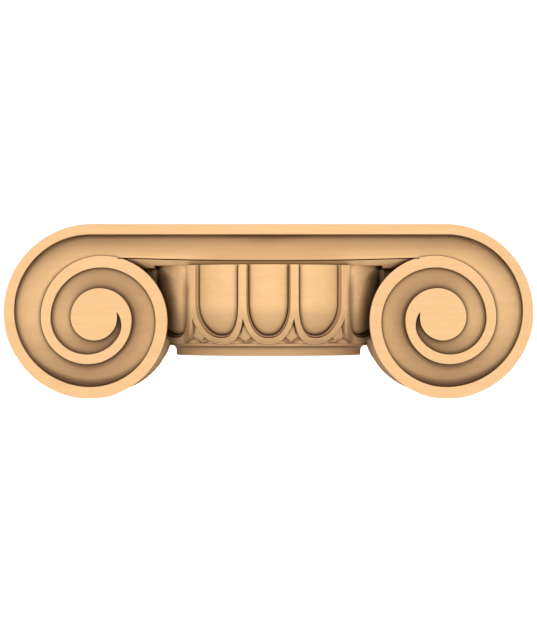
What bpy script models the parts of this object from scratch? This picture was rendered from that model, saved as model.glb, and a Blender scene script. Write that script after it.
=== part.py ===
"""Ionic capital, carved in one piece: two volutes joined by a channelled front, waisted bolsters behind
them, and an echinus of eggs and darts over a coved collar. X runs across the volutes, Y from front to back."""

import itertools
import math

import bmesh
import bpy

MM = 0.001

# Overall sizes.
WIDTH = 560 * MM
HEIGHT = 184.5 * MM
DEPTH = 180 * MM
HALF_WIDTH = WIDTH / 2
HALF_DEPTH = DEPTH / 2

# The volutes are drawn with a compass. Each pair is an arc's radius and the turn, in degrees, at which it ends.
# Turns are counted from straight up, towards the outer side. The first curve is the outer edge of the fillet,
# the second is its inner edge.
FILLET = 10.8 * MM
OUTER_ARCS = (
    (93.5 * MM, 90),
    (91.0 * MM, 180),
    (82.0 * MM, 270),
    (69.0 * MM, 360),
    (65.0 * MM, 450),
    (49.7 * MM, 540),
    (46.4 * MM, 630),
    (34.0 * MM, 720),
    (30.5 * MM, 810),
    (24.9 * MM, 900),
    (24.4 * MM, 1080),
)
INNER_ARCS = (
    (80.9 * MM, 90),
    (80.8 * MM, 180),
    (69.0 * MM, 270),
    (57.6 * MM, 360),
    (53.6 * MM, 450),
    (38.5 * MM, 600),
    (23.0 * MM, 720),
)
OUTER_CENTRE_X = HALF_WIDTH - OUTER_ARCS[0][0]
INNER_CENTRE_X = OUTER_CENTRE_X + 1.8 * MM
THREE_QUARTERS = 270
FULL_TURN = 360
LAST_FULL_TURN = 720

# The groove between the fillets. Its floor tilts as it goes round: the first depth is beside the outer fillet,
# the second beside the inner one, each at the turn given first.
GROOVE_DEPTHS = (
    (0, 13 * MM, 2 * MM),
    (90, 6 * MM, 3 * MM),
    (180, 13 * MM, 13 * MM),
    (270, 6 * MM, 13 * MM),
    (360, 8 * MM, 12 * MM),
    (450, 6 * MM, 4 * MM),
    (540, 9 * MM, 8 * MM),
    (640, 6 * MM, 6 * MM),
)
GROOVE_HOLLOW = 1.2 * MM
GROOVE_STEP = 10
TAIL_TURN = 600
TAIL_DEPTH_TURN = 640
TAIL_LIMIT = 690
TAIL_GAP = 0.5 * MM
TAIL_STEPS = 8

# The front between the volutes: the lower edge of its channel sags a little, over a band that is set back and
# slants under. The upper edge is straight for most of the way to the volute.
LIP_DROP = 38.4 * MM
LIP_RISE = 2.5 * MM
LIP_END_X = 149 * MM
BAND_DROP = 46.4 * MM
BAND_SETBACK = 3 * MM
BAND_SLANT = 0.6
BAND_STEPS = 8
LIP_SEARCH_TURN = 300
STRAIGHT_SHARE = 0.8
CHANNEL_STEPS = 8
CORNER_STEPS = 4

# The bolsters run from front to back, waisted between their two rims.
RIM_LENGTH = 12 * MM
WAIST = 9.5 * MM
WAIST_STEPS = 5
WAIST_FULL = 60
OUTLINE_STEP = 9
UNDERSIDE_STEPS = 6

# The underside is raised a little where it lies on the echinus. Beside the echinus the block is left whole between
# the bolsters.
BED_HALF_WIDTH = 121 * MM
BED_OVERLAP = 0.2 * MM
WEB_LENGTH = 36 * MM
WEB_WIDTH = 310 * MM
WEB_FOOT = 95 * MM
WEB_OVERLAP = 2 * MM
WEB_PLAN = (
    (-WEB_WIDTH / 2, -WEB_LENGTH / 2),
    (WEB_WIDTH / 2, -WEB_LENGTH / 2),
    (WEB_WIDTH / 2, WEB_LENGTH / 2),
    (-WEB_WIDTH / 2, WEB_LENGTH / 2),
)

# The echinus, and the eggs round it. They are set out evenly as they are seen from the front, and again from the
# back, so the last egg at each corner is the widest and runs into the bolster.
EGG_PITCH = 54.6 * MM
HALF_PITCH = EGG_PITCH / 2
LAST_EGG = 2
ECHINUS_RADIUS = 125 * MM
ECHINUS_TOP = 141 * MM
EGGS_FOOT = 57.4 * MM
OVOLO_RADIUS = 65 * MM
OVOLO_STARTS = 99.4 * MM
EGG_CENTRE = 104 * MM
EGG_POWER = 2.45
SHELL_MOUTH = (23.1 * MM, 40.1 * MM)
SHELL_OUTSIDE = (29.2 * MM, 46.6 * MM)
EGG_SIZE = (20.6 * MM, 36.1 * MM)
SHELL_DEPTH = 4 * MM
EGG_BULGE = 4.5 * MM
EDGE_SLOPE = 0.4 * MM
EGG_RINGS = (0.0, 0.6, 0.88, 1.0)
FORK_DEPTH = 10 * MM
DART_DEPTH = 4 * MM
DART_POINT = 65 * MM
DART_STEPS = 6
FOOT_STEPS = 2
FORK = 2

# The collar: a fillet, then a cove down to the seat on the shaft.
COLLAR_RADIUS = 101 * MM
COLLAR_FILLET_RADIUS = 108.8 * MM
COLLAR_FILLET_TOP = 58.4 * MM
COLLAR_FILLET_FOOT = 55.4 * MM
COLLAR_QUIRK = 0.6 * MM
COLLAR_FOOT = 45 * MM
COVE_STEPS = 4
COLLAR_SIDES = 56

CUT_MARGIN = 6 * MM
WELD = 0.01 * MM
SHARP_ANGLE = math.radians(35)
LEVEL = 0.999
WOOD_COLOUR = (0.78, 0.55, 0.29, 1.0)
WOOD_ROUGHNESS = 0.6
HALVINGS = 50


def clear_scene():
    for thing in list(bpy.data.objects):
        bpy.data.objects.remove(thing, do_unlink=True)


def mesh_object(name, vertices, faces):
    mesh = bpy.data.meshes.new(name)
    mesh.from_pydata(vertices, [], faces)
    mesh.validate()
    thing = bpy.data.objects.new(name, mesh)
    bpy.context.scene.collection.objects.link(thing)
    return thing


def finish_mesh(thing):
    """Joins doubled points, turns every face outwards, and shades the round sides smooth."""
    work = bmesh.new()
    work.from_mesh(thing.data)
    bmesh.ops.remove_doubles(work, verts=work.verts, dist=WELD)
    bmesh.ops.recalc_face_normals(work, faces=work.faces)
    work.to_mesh(thing.data)
    work.free()
    thing.data.shade_smooth()
    thing.data.set_sharp_from_angle(angle=SHARP_ANGLE)
    for face in thing.data.polygons:
        if len(face.vertices) > 4 or abs(face.normal.z) > LEVEL:
            face.use_smooth = False


def boolean(target, tool, operation):
    cut = target.modifiers.new(tool.name, "BOOLEAN")
    cut.object = tool
    cut.operation = operation
    cut.solver = "EXACT"
    tool.hide_render = True
    tool.display_type = "WIRE"


def smooth(amount):
    """Eases from 0 to 1."""
    clamped = min(max(amount, 0.0), 1.0)
    return clamped * clamped * (3 - 2 * clamped)


def arc_point(first_x, top, arcs, turn, inset=0.0):
    """A point on a compass-drawn spiral, at a turn in degrees. Where two arcs meet, the centre moves along
    the line to the joint, so that the curve runs on smoothly. The inset moves the point towards the centre."""
    x = first_x
    z = top - arcs[0][0]
    for number, (radius, end) in enumerate(arcs):
        if turn <= end or number == len(arcs) - 1:
            angle = math.radians(turn)
            return x + (radius - inset) * math.sin(angle), z + (radius - inset) * math.cos(angle)
        change = radius - arcs[number + 1][0]
        x += change * math.sin(math.radians(end))
        z += change * math.cos(math.radians(end))


def outer_edge(turn, inset=0.0):
    return arc_point(OUTER_CENTRE_X, HEIGHT, OUTER_ARCS, turn, inset)


def inner_edge(turn):
    return arc_point(INNER_CENTRE_X, HEIGHT - FILLET, INNER_ARCS, turn)


def solve(function, low, high):
    """Where a function that changes sign between low and high is zero."""
    rising = function(high) > 0
    for _ in range(HALVINGS):
        middle = (low + high) / 2
        if (function(middle) > 0) == rising:
            high = middle
        else:
            low = middle
    return (low + high) / 2


def turn_at_height(height, inset):
    """The turn, on the inner side of the volute, at which its outline rises to a height."""
    return solve(lambda turn: outer_edge(turn, inset)[1] - height, THREE_QUARTERS, FULL_TURN - 1)


def groove_depth(turn, side):
    """The groove's depth beside the outer fillet (side 1) or the inner one (side 2)."""
    if turn <= GROOVE_DEPTHS[0][0]:
        return GROOVE_DEPTHS[0][side]
    for near, far in zip(GROOVE_DEPTHS, GROOVE_DEPTHS[1:]):
        if turn <= far[0]:
            share = smooth((turn - near[0]) / (far[0] - near[0]))
            return near[side] + (far[side] - near[side]) * share
    return GROOVE_DEPTHS[-1][side]


def eye_centre():
    """The centre of the last arc, which bounds the eye."""
    x, z = outer_edge(LAST_FULL_TURN + THREE_QUARTERS)
    return x + OUTER_ARCS[-1][0], z


def tail_gap(turn):
    """How wide the groove still is near its tail."""
    x, z = inner_edge(turn)
    centre_x, centre_z = eye_centre()
    return math.hypot(x - centre_x, z - centre_z) - OUTER_ARCS[-1][0]


def tail_eye_turn(x, z):
    """The turn on the eye's last arc that faces a point."""
    centre_x, centre_z = eye_centre()
    return LAST_FULL_TURN + math.degrees(math.atan2(x - centre_x, z - centre_z)) % FULL_TURN


def lip_height(x):
    """The lower edge of the channel: lowest in the middle, and level with the volute's inner turn at its end."""
    share = min(x / LIP_END_X, 1.0)
    return HEIGHT - LIP_DROP + LIP_RISE * share * share


def lip_end_turn():
    """The turn at which the inner turn of the volute takes over from the lip."""
    return solve(lambda turn: outer_edge(turn)[1] - lip_height(outer_edge(turn)[0]), LIP_SEARCH_TURN, FULL_TURN - 1)


def channel_sections():
    """Pairs of opposite points along the channel, from the middle of the front to the top of the volute, each
    with the depths of the floor beside them."""
    lip_turn = lip_end_turn()
    end_x = outer_edge(lip_turn)[0]
    depths = (groove_depth(0, 1), groove_depth(0, 2))
    sections = []
    for step in range(CHANNEL_STEPS):
        share = step / CHANNEL_STEPS
        upper = (INNER_CENTRE_X * share * STRAIGHT_SHARE, HEIGHT - FILLET)
        x = end_x * share
        sections.append((upper, (x, lip_height(x)), *depths))
    for step in range(CORNER_STEPS):
        share = step / CORNER_STEPS
        upper = (INNER_CENTRE_X * (STRAIGHT_SHARE + (1 - STRAIGHT_SHARE) * share), HEIGHT - FILLET)
        lower = outer_edge(lip_turn + (FULL_TURN - lip_turn) * share)
        sections.append((upper, lower, *depths))
    return sections


def spiral_sections():
    """The same for the spiral, from the top of the volute to the groove's tail in the eye."""
    sections = []
    for turn in range(0, TAIL_TURN, GROOVE_STEP):
        upper = inner_edge(turn)
        lower = outer_edge(turn + FULL_TURN)
        sections.append((upper, lower, groove_depth(turn, 1), groove_depth(turn, 2)))
    last = solve(lambda turn: tail_gap(turn) - TAIL_GAP, TAIL_TURN, TAIL_LIMIT)
    eye_last = tail_eye_turn(*inner_edge(last))
    eye_first = TAIL_TURN + FULL_TURN
    for step in range(TAIL_STEPS + 1):
        share = step / TAIL_STEPS
        upper = inner_edge(TAIL_TURN + (last - TAIL_TURN) * share)
        lower = outer_edge(eye_first + (eye_last - eye_first) * share)
        depth_turn = TAIL_TURN + (TAIL_DEPTH_TURN - TAIL_TURN) * share
        sections.append((upper, lower, groove_depth(depth_turn, 1), groove_depth(depth_turn, 2)))
    return sections


def mirrored(section):
    (upper_x, upper_z), (lower_x, lower_z), upper_depth, lower_depth = section
    return (-upper_x, upper_z), (-lower_x, lower_z), upper_depth, lower_depth


def groove_section(section):
    """The groove's outline at a section: down one side, across the hollow floor, and up the other side."""
    (upper_x, upper_z), (lower_x, lower_z), upper_depth, lower_depth = section
    face = -HALF_DEPTH
    middle_depth = (upper_depth + lower_depth) / 2 + GROOVE_HOLLOW
    return [
        (upper_x, face - CUT_MARGIN, upper_z),
        (upper_x, face + upper_depth, upper_z),
        ((upper_x + lower_x) / 2, face + middle_depth, (upper_z + lower_z) / 2),
        (lower_x, face + lower_depth, lower_z),
        (lower_x, face - CUT_MARGIN, lower_z),
    ]


def skin(name, outlines):
    """A closed solid over a row of closed outlines, each with the same number of points."""
    around = len(outlines[0])
    vertices = [point for outline in outlines for point in outline]
    faces = [tuple(range(around)), tuple(reversed(range(len(vertices) - around, len(vertices))))]
    for number in range(len(outlines) - 1):
        here = number * around
        for side in range(around):
            after = (side + 1) % around
            faces.append((here + side, here + after, here + around + after, here + around + side))
    solid = mesh_object(name, vertices, faces)
    finish_mesh(solid)
    return solid


def groove_cutter():
    """The solid that cuts the channel and both spiral grooves out of the front face."""
    half = channel_sections() + spiral_sections()
    sections = [mirrored(section) for section in reversed(half[1:])] + half
    return skin("groove_cutter", [groove_section(section) for section in sections])


def band_cutter():
    """The solid that sets back the band below the lip, between the volutes."""
    lip_turn = lip_end_turn()
    low_turn = turn_at_height(HEIGHT - BAND_DROP - CUT_MARGIN, 0)
    end_x = outer_edge(lip_turn)[0]
    half = []
    for step in range(CHANNEL_STEPS + 1):
        x = end_x * step / CHANNEL_STEPS
        half.append((x, lip_height(x)))
    for step in range(1, BAND_STEPS + 1):
        half.append(outer_edge(lip_turn + (low_turn - lip_turn) * step / BAND_STEPS))
    whole = [(-x, z) for x, z in reversed(half[1:])] + half
    far = -HALF_DEPTH + BAND_SETBACK
    front = [(x, -HALF_DEPTH - CUT_MARGIN, z) for x, z in whole]
    back = [(x, far + BAND_SLANT * (HEIGHT - LIP_DROP - z), z) for x, z in whole]
    return skin("band_cutter", [front, back])


def turned_to_back(cutter):
    """A copy of a front cutter, turned half round for the back."""
    vertices = [(-point.co.x, -point.co.y, point.co.z) for point in cutter.data.vertices]
    faces = [tuple(face.vertices) for face in cutter.data.polygons]
    return mesh_object(cutter.name + "_back", vertices, faces)


def body_outline(waist):
    """Half of the body's outline, seen from the front, with the volute drawn in by the waist."""
    underside = HEIGHT - BAND_DROP
    end = turn_at_height(underside, waist)
    turns = list(range(0, THREE_QUARTERS, OUTLINE_STEP))
    for step in range(UNDERSIDE_STEPS + 1):
        turns.append(THREE_QUARTERS + (end - THREE_QUARTERS) * step / UNDERSIDE_STEPS)
    points = [(0.0, HEIGHT)]
    for turn in turns:
        inset = waist * smooth(turn / WAIST_FULL)
        points.append(outer_edge(turn, inset))
    bed = ECHINUS_TOP - BED_OVERLAP
    points += [(BED_HALF_WIDTH, underside), (BED_HALF_WIDTH, bed), (0.0, bed)]
    return points


def body_stations():
    """Places from front to back, each with the waist there: two plain rims and an elliptical hollow between."""
    inner = HALF_DEPTH - RIM_LENGTH
    front = [(-HALF_DEPTH, 0.0), (-inner, 0.0)]
    for step in range(1, WAIST_STEPS + 1):
        angle = math.pi / 2 * step / (WAIST_STEPS + 0.5)
        front.append((-inner * math.cos(angle), WAIST * math.sin(angle)))
    return front + [(-y, waist) for y, waist in reversed(front)]


def volute_body():
    """The block that the capital is carved from: the bed, both volutes and the bolsters behind them."""
    outlines = []
    for y, waist in body_stations():
        half = body_outline(waist)
        whole = half + [(-x, z) for x, z in reversed(half[1:-1])]
        outlines.append([(x, y, z) for x, z in whole])
    return skin("ionic_capital", outlines)


def web():
    """The uncut wood between the bolsters, over the echinus's shoulders."""
    top = ECHINUS_TOP + WEB_OVERLAP
    corners = [(x, y, z) for z in (WEB_FOOT, top) for x, y in WEB_PLAN]
    faces = [(3, 2, 1, 0), (4, 5, 6, 7), (0, 1, 5, 4), (1, 2, 6, 5), (2, 3, 7, 6), (3, 0, 4, 7)]
    block = mesh_object("web", corners, faces)
    finish_mesh(block)
    return block


def ovolo_radius(z):
    """The echinus is straight above, and curves in to the collar below."""
    drop = max(OVOLO_STARTS - z, 0.0)
    return ECHINUS_RADIUS - OVOLO_RADIUS + math.sqrt(OVOLO_RADIUS ** 2 - drop ** 2)


def turn_at(across):
    """How far round the echinus a point is, when it is seen at a distance across from the middle of the front.
    The last egg is opened out, so that it ends at the side."""
    last_rib = (LAST_EGG - 0.5) * EGG_PITCH
    rest = abs(across) - last_rib
    if rest <= 0:
        return math.asin(across / ECHINUS_RADIUS)
    start = math.asin(last_rib / ECHINUS_RADIUS)
    rate = 1 / (ECHINUS_RADIUS * math.cos(start))
    opening = (math.pi / 2 - start - rate * EGG_PITCH) / EGG_PITCH ** 2
    return math.copysign(start + rate * rest + opening * rest * rest, across)


def fork_angle():
    """The angle on the outer curve of a shell at which it parts from the next shell."""
    return math.acos((HALF_PITCH / SHELL_OUTSIDE[0]) ** (EGG_POWER / 2))


def curve_angles():
    """The angles at which every egg and shell curve is drawn. One of them is where the shells part."""
    fork = fork_angle()
    below = [fork + (math.pi / 2 - fork) * step / DART_STEPS for step in range(DART_STEPS + 1)]
    return [0.0] + below


def egg_curve(size, relief):
    """Half the outline of an egg or a shell, from its flat top, down its straight side and round to its foot.
    Each point is a distance across, a height and the relief there."""
    half_width, drop = size
    points = [(half_width, ECHINUS_TOP, relief)]
    for angle in curve_angles():
        across = half_width * max(math.cos(angle), 0.0) ** (2 / EGG_POWER)
        height = EGG_CENTRE - drop * math.sin(angle) ** (2 / EGG_POWER)
        points.append((across, height, relief))
    return points


def dart_relief(height):
    """The dart is deepest in the fork between the shells, and comes forward to its point."""
    fork_height = egg_curve(SHELL_OUTSIDE, 0.0)[FORK][1]
    share = smooth((fork_height - height) / (fork_height - DART_POINT))
    return -FORK_DEPTH + (FORK_DEPTH - DART_DEPTH) * share


def dart_middle():
    """Points down the middle of a dart, then back along the foot of the echinus to the middle of the egg."""
    fork_height = egg_curve(SHELL_OUTSIDE, 0.0)[FORK][1]
    points = []
    down = DART_STEPS - FOOT_STEPS
    for step in range(down + 1):
        height = fork_height + (EGGS_FOOT - fork_height) * step / down
        points.append((HALF_PITCH, height, dart_relief(height)))
    for step in range(1, FOOT_STEPS + 1):
        points.append((HALF_PITCH * (1 - step / FOOT_STEPS), EGGS_FOOT, -DART_DEPTH))
    return points


def egg_rows():
    """Half an egg, its shell and half a dart, as rows of points from the middle of the egg outwards."""
    rows = []
    for share in EGG_RINGS:
        relief = EGG_BULGE * math.sqrt(1 - share ** 4) - SHELL_DEPTH
        rows.append(egg_curve((EGG_SIZE[0] * share, EGG_SIZE[1] * share), relief))
    mouth_foot = (SHELL_MOUTH[0] - EDGE_SLOPE, SHELL_MOUTH[1] - EDGE_SLOPE)
    rows.append(egg_curve(mouth_foot, -SHELL_DEPTH))
    rows.append(egg_curve(SHELL_MOUTH, 0.0))
    outside = egg_curve(SHELL_OUTSIDE, 0.0)
    outside[0] = (HALF_PITCH, ECHINUS_TOP, 0.0)
    outside[1] = (HALF_PITCH, EGG_CENTRE, 0.0)
    rows.append(outside)
    joined = outside[:FORK + 1]
    recess = []
    for across, height, _ in outside[FORK + 1:]:
        foot = max(height - EDGE_SLOPE, EGGS_FOOT)
        recess.append((across, foot, dart_relief(height)))
    rows.append(joined + recess)
    rows.append(joined + dart_middle()[1:])
    return rows


def echinus_point(point, egg, side, front):
    across, height, relief = point
    turn = turn_at(egg * EGG_PITCH + side * across)
    radius = (ovolo_radius(height) + relief) * front
    return radius * math.sin(turn), -radius * math.cos(turn), height


def echinus():
    """The ring of eggs and darts, with a flat bed above and below."""
    rows = egg_rows()
    work = bmesh.new()
    eggs = range(-LAST_EGG, LAST_EGG + 1)
    for egg, side, front in itertools.product(eggs, (-1, 1), (-1, 1)):
        grid = [[work.verts.new(echinus_point(point, egg, side, front)) for point in row] for row in rows]
        for near, far in zip(grid, grid[1:]):
            for step in range(len(near) - 1):
                work.faces.new((near[step], near[step + 1], far[step + 1], far[step]))
    bmesh.ops.remove_doubles(work, verts=work.verts, dist=WELD)
    bmesh.ops.dissolve_degenerate(work, edges=work.edges, dist=WELD)
    rims = [edge for edge in work.edges if edge.is_boundary]
    bmesh.ops.holes_fill(work, edges=rims, sides=0)
    ring = mesh_object("echinus", [], [])
    work.to_mesh(ring.data)
    work.free()
    finish_mesh(ring)
    return ring


def collar_profile():
    """The collar's outside from the top down: a fillet, then a cove."""
    cove = COLLAR_FILLET_RADIUS - COLLAR_QUIRK - COLLAR_RADIUS
    points = [
        (COLLAR_FILLET_RADIUS, COLLAR_FILLET_TOP),
        (COLLAR_FILLET_RADIUS, COLLAR_FILLET_FOOT),
    ]
    for step in range(COVE_STEPS + 1):
        angle = math.pi / 2 * step / COVE_STEPS
        across = COLLAR_RADIUS + cove * (1 - math.sin(angle))
        points.append((across, COLLAR_FILLET_FOOT - cove * (1 - math.cos(angle))))
    points.append((COLLAR_RADIUS, COLLAR_FOOT))
    return points


def collar():
    """The round collar below the eggs, flat underneath where it sits on the shaft."""
    turns = [2 * math.pi * side / COLLAR_SIDES for side in range(COLLAR_SIDES)]
    rings = []
    for radius, height in collar_profile():
        rings.append([(radius * math.sin(turn), -radius * math.cos(turn), height) for turn in turns])
    return skin("collar", rings)


def wood():
    material = bpy.data.materials.new("carved_wood")
    material.use_nodes = True
    shader = material.node_tree.nodes["Principled BSDF"]
    shader.inputs["Base Color"].default_value = WOOD_COLOUR
    shader.inputs["Roughness"].default_value = WOOD_ROUGHNESS
    shader.inputs["Metallic"].default_value = 0.0
    return material


def main():
    clear_scene()
    body = volute_body()
    groove = groove_cutter()
    band = band_cutter()
    for cutter in (groove, band, turned_to_back(groove), turned_to_back(band)):
        boolean(body, cutter, "DIFFERENCE")
    for piece in (web(), echinus(), collar()):
        boolean(body, piece, "UNION")
    body.data.materials.append(wood())


main()
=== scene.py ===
from math import acos, asin, atan2, copysign, cos, degrees, hypot, pi, radians, sin, sqrt

import bmesh
import bpy
from bpy.props import FloatProperty, FloatVectorProperty, IntProperty, PointerProperty
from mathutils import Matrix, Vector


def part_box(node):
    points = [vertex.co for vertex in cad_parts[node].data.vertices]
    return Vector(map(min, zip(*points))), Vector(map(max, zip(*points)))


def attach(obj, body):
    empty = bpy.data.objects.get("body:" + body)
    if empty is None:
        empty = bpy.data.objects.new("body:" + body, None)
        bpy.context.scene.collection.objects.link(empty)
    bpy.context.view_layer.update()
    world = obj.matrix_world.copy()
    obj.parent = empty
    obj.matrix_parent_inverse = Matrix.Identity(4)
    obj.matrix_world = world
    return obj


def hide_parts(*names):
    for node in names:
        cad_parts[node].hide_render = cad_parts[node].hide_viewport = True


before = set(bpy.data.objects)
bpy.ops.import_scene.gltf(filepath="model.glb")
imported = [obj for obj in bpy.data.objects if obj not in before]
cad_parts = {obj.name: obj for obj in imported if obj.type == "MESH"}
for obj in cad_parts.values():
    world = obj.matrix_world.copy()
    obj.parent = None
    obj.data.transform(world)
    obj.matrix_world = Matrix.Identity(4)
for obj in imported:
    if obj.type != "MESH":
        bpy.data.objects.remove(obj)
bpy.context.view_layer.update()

bl_info = {
    "name": "Carved Ionic Capital",
    "version": (1, 0, 0),
    "blender": (4, 5, 0),
    "location": "View3D > Sidebar > Capital",
    "description": "Carves an Ionic column capital in pale wood and sets it in a plain studio",
    "category": "Add Mesh",
}

MM = 0.001
CAD_NODE = "ionic_capital"
PIECE_NAME = "carved_capital"
LOW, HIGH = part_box(CAD_NODE)
HALF_WIDTH = HIGH.x
HEIGHT = HIGH.z - LOW.z

# The volutes are drawn with a compass. Each pair is an arc's radius, in millimetres, and the turn at which it
# ends, in degrees from straight up towards the outer side. The first curve is the outer edge of the fillet,
# the second is its inner edge.
OUTER_ARCS = [(radius * MM, turn) for radius, turn in (
    (93.5, 90), (91.0, 180), (82.0, 270), (69.0, 360), (65.0, 450), (49.7, 540), (46.4, 630), (34.0, 720),
    (30.5, 810), (24.9, 900), (24.4, 1080))]
INNER_ARCS = [(radius * MM, turn) for radius, turn in (
    (80.9, 90), (80.8, 180), (69.0, 270), (57.6, 360), (53.6, 450), (38.5, 600), (23.0, 720))]
OUTER_CENTRE_X = HALF_WIDTH - OUTER_ARCS[0][0]
INNER_CENTRE_X = OUTER_CENTRE_X + 1.8 * MM
THREE_QUARTERS = 270
FULL_TURN = 360

# The groove's floor tilts as it goes round. Each row is a turn, and the depth there beside the outer fillet
# and beside the inner one.
GROOVE_DEPTHS = [(turn, outer * MM, inner * MM) for turn, outer, inner in (
    (0, 13, 2), (90, 6, 3), (180, 13, 13), (270, 6, 13), (360, 8, 12), (450, 6, 4), (540, 9, 8), (640, 6, 6))]

# The groove's tail begins at a turn and ends before its limit, where only a gap is left. Its depths change
# more slowly. The cutter flares out in front of the face, and its floor is less hollow where it is narrow.
TAIL_TURN = 600
TAIL_DEPTH_TURN = 640
TAIL_LIMIT = 690
TAIL_GAP = 0.4 * MM
GROOVE_FLARE = 2 * MM
FULL_HOLLOW_WIDTH = 20 * MM

# The front between the volutes. The lip faces this share of the straight top edge, and ends past this turn of
# the volute. The channel is cut a little past the lip, into the quirk, and less so near the volutes. The band
# rolls under in flats, each beginning at a drop below the lip with its own slant.
STRAIGHT_SHARE = 0.8
LIP_SEARCH_TURN = 300
LIP_END_X = 149 * MM
LIP_OVERCUT = 1.5 * MM
LIP_FADE = 6
BAND_ROLL = ((0.0, 0.45), (3 * MM, 0.62), (5.5 * MM, 0.8))

# The bolsters are drawn in by their whole waist from this turn on. The parts run into one another a little
# where they meet, and a cutter goes past what it cuts.
WAIST_FULL = 60
BED_OVERLAP = 0.2 * MM
WEB_OVERLAP = 2 * MM
MARGIN = 6 * MM

# The eggs. The powers give the roundness of their outline, of their sides and of their feet. A dart falls
# back towards the fork, the cut beside it less steeply, and its leaf rises from the edges of its field.
EGG_POWER = 2.45
SIDE_POWER = 2.0
FOOT_POWER = 1.7
FORK_POWER = 4.5
GAP_POWER = 1.2
GAP_SHARE = 0.3
LEAF_STEPS = 6
LEAF_CREST = 0.77
LEAF_POWER = 1.6

# How finely the curves are drawn, and how exactly points are found.
SPIRAL_STEP = 3
CHANNEL_STEPS = 16
CORNER_STEPS = 8
TAIL_STEPS = 16
FLOOR_STEPS = 10
FOOT_STEPS = 3
OUTLINE_STEP = 3
UNDERSIDE_STEPS = 18
WAIST_STEPS = 14
OVOLO_STEPS = 6
SHELL_STEPS = 26
COLLAR_SIDES = 180
COVE_STEPS = 12
EGG_SHARES = (0.0, 0.2, 0.36, 0.5, 0.62, 0.72, 0.8, 0.86, 0.91, 0.95, 0.98, 1.0)
DART_SHARES = (0.0, 0.06, 0.14, 0.3, 0.5, 0.7, 0.86, 1.0)
DART_FOOT_STEPS = 3
LAST_DART_SHARE = 0.975
FORK = 2 * OVOLO_STEPS
SHOULDER = FORK + SHELL_STEPS // 2
SHARP_ANGLE = radians(28)
WELD = 0.002 * MM
HALVINGS = 50

# Places where shade is painted into the wood's colour, and, close under the front, light. Each is bounded by
# measures: the height, the distance sideways or outwards from the middle, and the spread, which is the
# distance from the upright axis. A bound gives, in millimetres, where the place ends and where it is reached
# in full.
ECHINUS = (("spread", 128, 126), ("height", 146.5, 145.5))
COLLAR = (("spread", 110.5, 109.5), ("height", 58.6, 58.2))
UNDER_FILLET = (("height", 51.8, 54.2), ("height", 55.7, 55.5))
OVER_COLLAR = ("height", 58.4, 58.8)
EGG_FEET = (("height", 58.2, 58.6), ("height", 99, 88))
LAST_RIBS = (OVER_COLLAR, ("height", 135, 115), ("sideways", 82, 85), ("sideways", 92.5, 88.5))
BAND = (
    ("sideways", 152, 150), ("outwards", 78, 78.5), ("outwards", 89, 88.5), ("height", 137.2, 137.8),
    ("height", 146.6, 145.8))
PAST_EGGS = (("height", 140.8, 141.1), ("spread", 126, 128), ("sideways", 86, 88))
# The shelter close under the front, where the eggs are painted lighter against the front's shadow.
SHELTER = (("outwards", 84, 76), ("height", 141.2, 141))
SHELTER_TOP = 141 * MM
SHELTER_POWER = 4.0
LAST_EGG_SPAN = (95 * MM, 104 * MM)
LAST_EGG_LEAN = 12 * MM
LEAN_RISE = (104 * MM, 144 * MM)
TOP_RISE = (145 * MM, 172 * MM)
MIDDLE_SPAN = (0.0, 57 * MM)
VOLUTE_FEET = (20 * MM, 45 * MM)

# The finer looks of the wood, and the samples taken by the shade painted into its hollows.
HOLLOW_SAMPLES = 12
RING_RANGE = (0.35, 0.65)
FIBRE_RANGE = (0.3, 0.7)
RING_SHARE = 0.6
FIBRE_SHARE = 0.25
FIGURE_SHARE = 0.25
NOISE_ROUGHNESS = 0.55
ROUGHNESS_SPREAD = 0.06
SPECULAR = 0.12
PORE_DEPTH = 0.2 * MM

# The studio.
FLOOR_SIZE = 12
LAMP_SLENDERNESS = 3
SENSOR_WIDTH = 36


def setting(name, description, default, **kind):
    return FloatProperty(name=name, description=description, default=default, **kind)


def length(name, description, millimetres):
    return setting(name, description, millimetres * MM, unit="LENGTH", precision=4)


def portion(name, description, default):
    return setting(name, description, default, min=0, max=1, subtype="FACTOR")


def strength(name, description, default):
    return setting(name, description, default, min=0)


def outline(name, owner, *millimetres):
    """The two sizes of an egg's or a shell's outline."""
    return FloatVectorProperty(
        name=name, description="Half width and drop of " + owner, default=[size * MM for size in millimetres],
        size=2, unit="LENGTH")


def colour(name, description, default):
    return FloatVectorProperty(name=name, description=description, default=default, size=3, subtype="COLOR")


class ScrollSizes(bpy.types.PropertyGroup):
    """The volutes, the channelled front between them and the bolsters behind."""

    depth: length("Depth", "Thickness through the volutes", 180)
    fillet: length("Fillet", "Width of the raised fillet", 10.8)
    hollow: length("Hollow", "How far the groove's floor dips between its sides", 1.2)
    cove: length("Cove", "Radius where the groove's floor meets its sides", 0.7)
    chamfer: length("Chamfer", "Width of the soft edge along the fillets", 0.25)
    lip_drop: length("Lip drop", "Height of the channel's lower lip below the top", 38.0)
    lip_rise: length("Lip rise", "How much higher the lip is at the volutes", 2.5)
    band_drop: length("Band drop", "Height of the front's lower edge below the top", 46.4)
    band_setback: length("Band setback", "How far the band below the lip is set back", 3)
    quirk: length("Quirk", "Width of the fine line cut below the lip", 1.3)
    quirk_depth: length("Quirk depth", "Depth of that line", 2.2)
    rim: length("Rim", "Length of the plain rim at each end of a bolster", 12)
    waist: length("Waist", "How far a bolster draws in between its rims", 9.5)
    bed_half_width: length("Bed", "Half the width of the flat that lies on the echinus", 121)
    web_length: length("Web", "Thickness of the wood left between the bolsters", 36)
    web_half_width: length("Web reach", "Half the width of that wood", 155)
    web_foot: length("Web foot", "Height of the underside of that wood", 95)


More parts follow.
